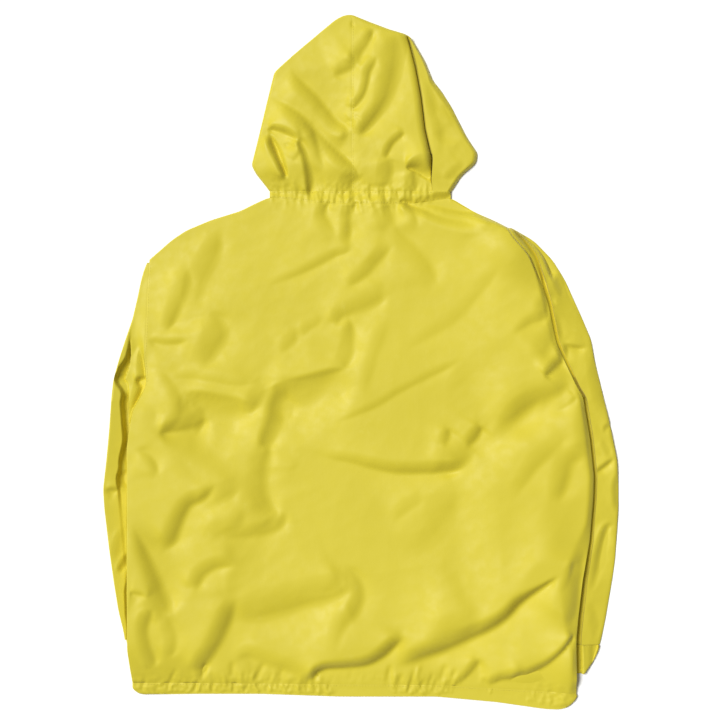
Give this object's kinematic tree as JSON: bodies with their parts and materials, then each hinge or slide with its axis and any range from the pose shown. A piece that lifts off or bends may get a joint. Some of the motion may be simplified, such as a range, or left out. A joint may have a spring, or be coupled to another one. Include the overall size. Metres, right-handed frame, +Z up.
{
  "type": "anorak pullover",
  "caption": "Hooded anorak pullover laid out flat with its back up, sleeves folded beneath its sides, gathered hood and hem casings.",
  "frame": {"origin": "centre of the garment's outline as laid out, on the surface it rests on", "axes": "+Z up from the surface, +Y from the hem towards the hood, +X to the right as seen from above with the back up"},
  "size_m": [0.7484, 1.0091, 0.022],
  "materials": {
    "shell_cloth": "light yellow woven nylon shell over a lining, low sheen"
  },
  "bodies": {
    "root": {"back_panel": "shell_cloth", "front_panel": "shell_cloth", "hem_casing": "shell_cloth", "neck_casing": "shell_cloth", "sleeve_left": "shell_cloth", "sleeve_right": "shell_cloth", "cuff_left": "shell_cloth", "cuff_right": "shell_cloth", "hood_left": "shell_cloth", "hood_right": "shell_cloth", "face_band_left": "shell_cloth", "face_band_right": "shell_cloth"}
  },
  "joints": []
}
